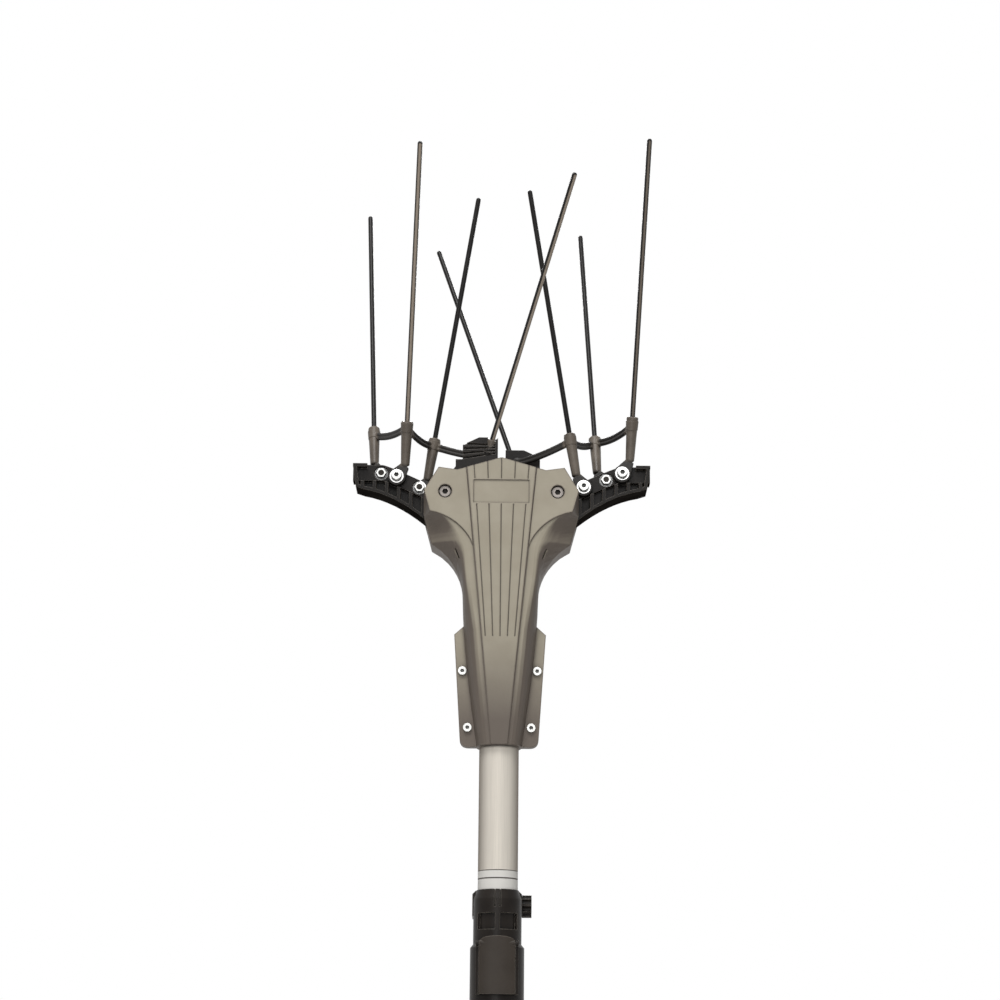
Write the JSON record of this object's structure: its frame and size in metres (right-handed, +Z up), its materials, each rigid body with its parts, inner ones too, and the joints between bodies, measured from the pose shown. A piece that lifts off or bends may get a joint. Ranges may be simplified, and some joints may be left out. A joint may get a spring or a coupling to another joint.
{
  "type": "olive harvester head",
  "caption": "Electric olive harvester head: tine rakes that swing on a motor-driven gear casing, carried by a tube that slides in a pole clamp with a lever and a knob.",
  "frame": {"origin": "centre of the clamp's lower mouth, where the pole enters", "axes": "+Z up along the pole towards the tines, +X to the right seen from the front, -Y towards the front"},
  "size_m": [0.27, 0.2328, 0.8198],
  "materials": {
    "casing": "satin moulded taupe, fine grain",
    "bright_steel": "bright zinc-plated screws, nuts and pins",
    "ground_steel": "ground steel",
    "frame_aluminium": "die-cast",
    "black_steel": "black oxide",
    "motor_plastic": "black moulded plastic",
    "copper": "copper windings on a laminated core",
    "lead_rubber": "matt black jacket",
    "tube_aluminium": "satin drawn tube with a plain label band",
    "rake_plastic": "black glass-filled plastic, satin",
    "bronze": "sintered bronze",
    "sleeve_rubber": "dark grey-brown rubber",
    "tine_black": "pultruded carbon rod, satin",
    "tie_rubber": "black rubber",
    "washer_zinc": "bright zinc",
    "clamp_plastic": "black moulded plastic, satin"
  },
  "bodies": {
    "clamp": {"clamp_body": "clamp_plastic", "clamp_bolt": "bright_steel", "lever_pin": "bright_steel"},
    "lever": {"clamp_lever": "clamp_plastic"},
    "knob": {"clamp_knob": "clamp_plastic"},
    "head": {"front_cover": "casing", "rear_cover": "casing", "cover_screws": "bright_steel", "cover_nuts": "bright_steel", "pivot_screws": "bright_steel", "left_pivot_shaft": "ground_steel", "right_pivot_shaft": "ground_steel", "gear_frame": "frame_aluminium", "frame_screws": "black_steel", "front_crank_bearing": "ground_steel", "rear_crank_bearing": "ground_steel", "motor_can": "black_steel", "motor_magnets": "black_steel", "motor_end_bell": "motor_plastic", "motor_lead": "lead_rubber", "upper_tube": "tube_aluminium", "tube_plug": "motor_plastic"},
    "crank": {"crown_crank": "ground_steel", "rear_crank_web": "ground_steel", "front_roller": "ground_steel", "rear_roller": "ground_steel"},
    "rotor": {"motor_rotor": "copper", "motor_pinion": "ground_steel"},
    "left_rake": {"left_arm": "rake_plastic", "left_bush": "bronze", "left_outer_sleeve": "sleeve_rubber", "left_outer_tine": "tine_black", "left_middle_sleeve": "sleeve_rubber", "left_middle_tine": "tine_black", "left_inner_sleeve": "sleeve_rubber", "left_inner_tine": "tine_black", "left_cross_sleeve": "sleeve_rubber", "left_cross_tine": "tine_black", "left_tie": "tie_rubber", "left_screws": "bright_steel", "left_washers": "washer_zinc", "left_nuts": "bright_steel"},
    "right_rake": {"right_arm": "rake_plastic", "right_bush": "bronze", "right_outer_sleeve": "sleeve_rubber", "right_outer_tine": "tine_black", "right_middle_sleeve": "sleeve_rubber", "right_middle_tine": "tine_black", "right_inner_sleeve": "sleeve_rubber", "right_inner_tine": "tine_black", "right_cross_sleeve": "sleeve_rubber", "right_cross_tine": "tine_black", "right_tie": "tie_rubber", "right_screws": "bright_steel", "right_washers": "washer_zinc", "right_nuts": "bright_steel"}
  },
  "joints": [
    {"name": "tube_slide", "type": "slide", "parent": "clamp", "child": "head", "axis": [0, 0, 1], "range_m": [-0.12, 0.04]},
    {"name": "lever_turn", "type": "hinge", "parent": "clamp", "child": "lever", "pos_m": [0, -0.026, 0.1065], "axis": [-1, 0, 0], "range_deg": [0, 100]},
    {"name": "knob_turn", "type": "hinge", "parent": "clamp", "child": "knob", "pos_m": [0, 0.026, 0.1425], "axis": [1, 0, 0], "continuous": true},
    {"name": "crank_turn", "type": "hinge", "parent": "head", "child": "crank", "pos_m": [0, 0, 0.467], "axis": [0, 1, 0], "range_deg": [-90, 90]},
    {"name": "left_swing", "type": "hinge", "parent": "head", "child": "left_rake", "pos_m": [-0.0505, 0, 0.505], "axis": [0, 1, 0], "range_deg": [-7, 7]},
    {"name": "right_swing", "type": "hinge", "parent": "head", "child": "right_rake", "pos_m": [0.0505, 0, 0.505], "axis": [0, 1, 0], "range_deg": [-7, 7]},
    {"name": "motor_turn", "type": "hinge", "parent": "head", "child": "rotor", "pos_m": [0, 0, 0.4], "axis": [0, 0, 1], "range_deg": [-360, 360]}
  ],
  "couplings": [
    {"joint": "left_swing", "follows": "crank_turn", "ratio": -0.077778},
    {"joint": "right_swing", "follows": "crank_turn", "ratio": 0.077778},
    {"joint": "motor_turn", "follows": "crank_turn", "ratio": -4}
  ]
}
